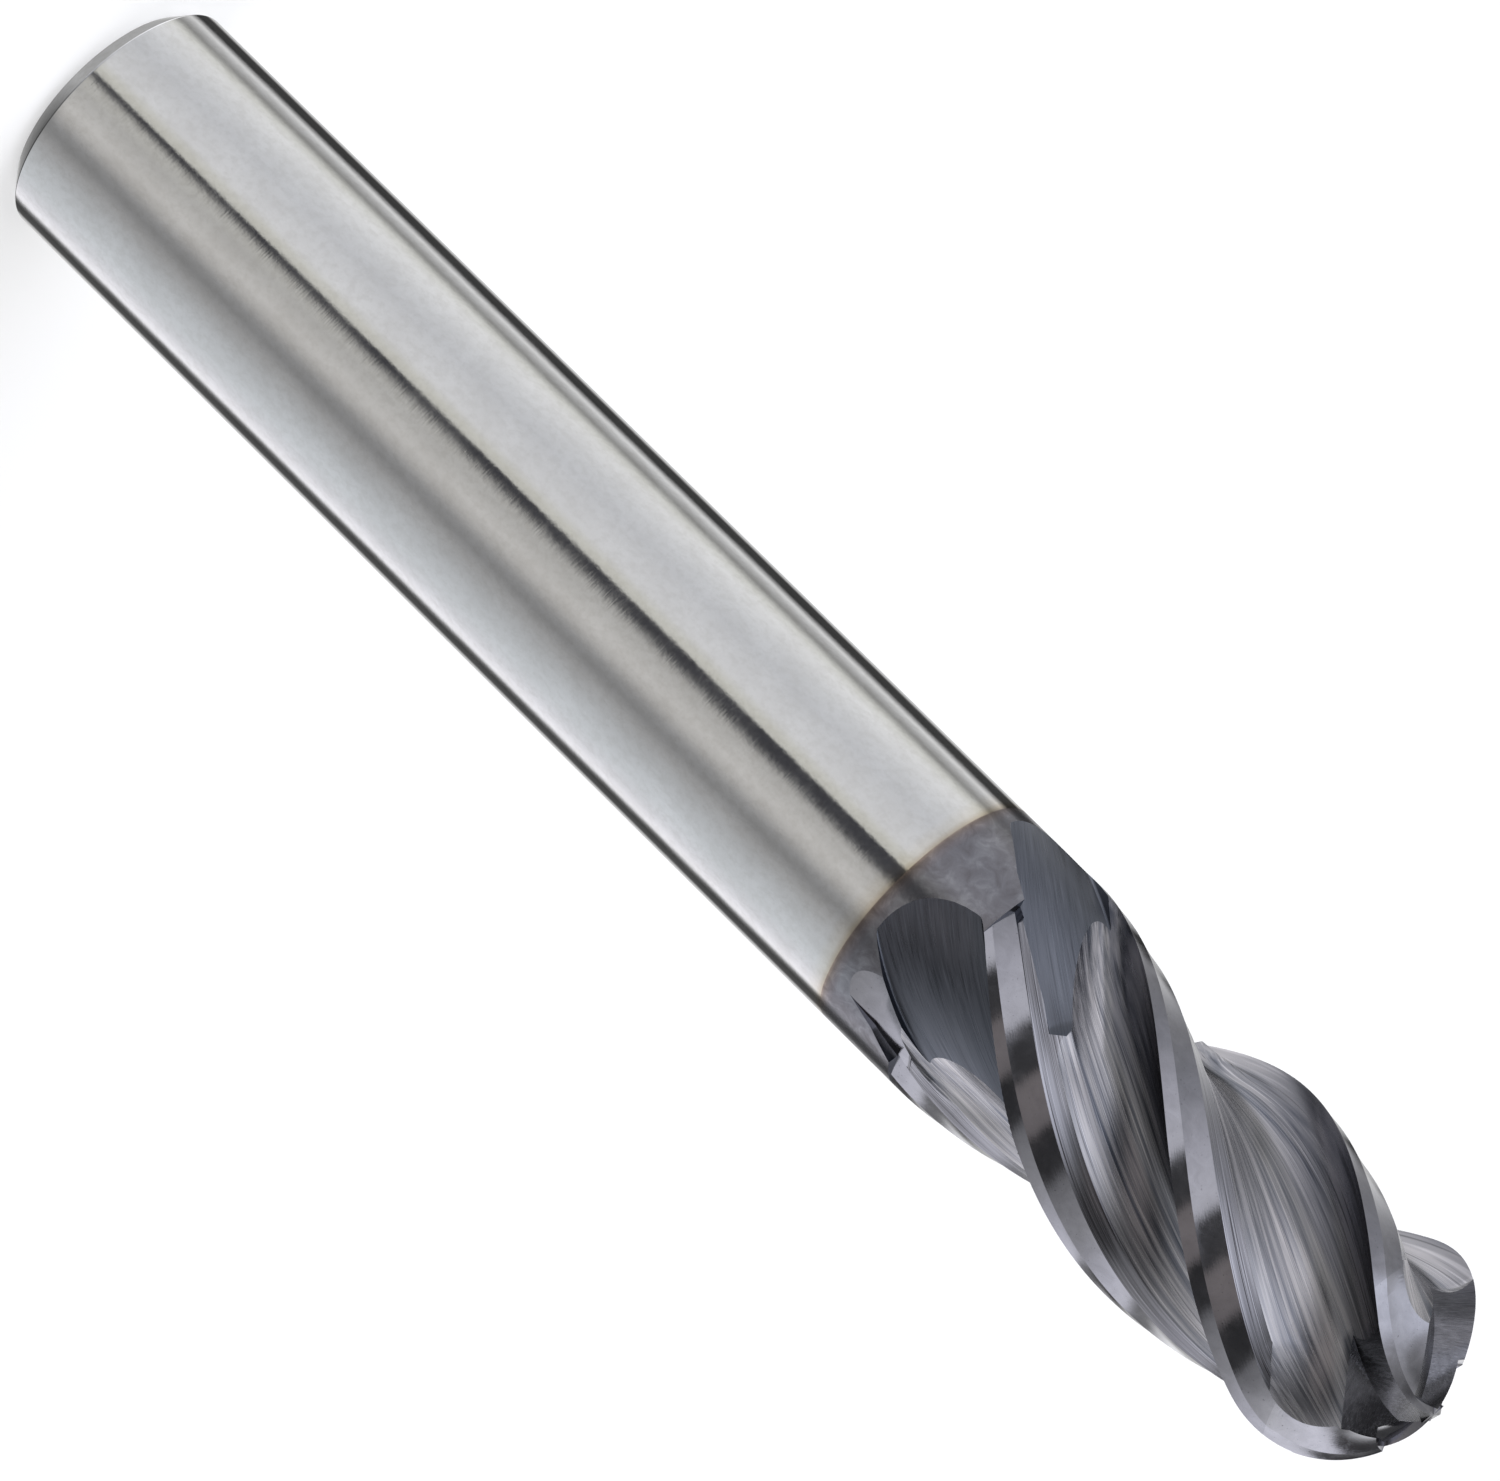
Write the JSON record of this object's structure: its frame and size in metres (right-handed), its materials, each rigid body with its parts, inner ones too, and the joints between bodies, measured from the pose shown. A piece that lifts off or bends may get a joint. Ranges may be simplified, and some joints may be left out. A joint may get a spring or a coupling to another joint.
{
  "type": "ball nose end mill",
  "caption": "Solid carbide ball-nose end mill: bright ground cylindrical shank, dark coated right-hand helical flutes and teeth, hemispherical cutting tip.",
  "frame": {"origin": "centre of the flat end face of the shank, which the tool stands on", "axes": "+Z along the tool axis from the shank end to the tip of the ball; the tool turns clockwise seen from the shank end"},
  "size_m": [0.012, 0.012, 0.083],
  "materials": {
    "ground_carbide": "bright cylindrically ground tungsten carbide, slightly warm, fine cloudy mottling",
    "nitride_coating": "glossy violet-grey nitride coating over ground carbide, fine grinding lines along the helix",
    "core_carbide": "sintered tungsten carbide, inside the tool"
  },
  "bodies": {
    "root": {"shank": "ground_carbide", "run_out_collar": "nitride_coating", "core": "core_carbide", "tooth_1": "nitride_coating", "tooth_2": "nitride_coating", "tooth_3": "nitride_coating", "tooth_4": "nitride_coating", "nose_tooth_1": "nitride_coating", "nose_tooth_2": "nitride_coating", "nose_tooth_3": "nitride_coating", "nose_tooth_4": "nitride_coating"}
  },
  "joints": []
}
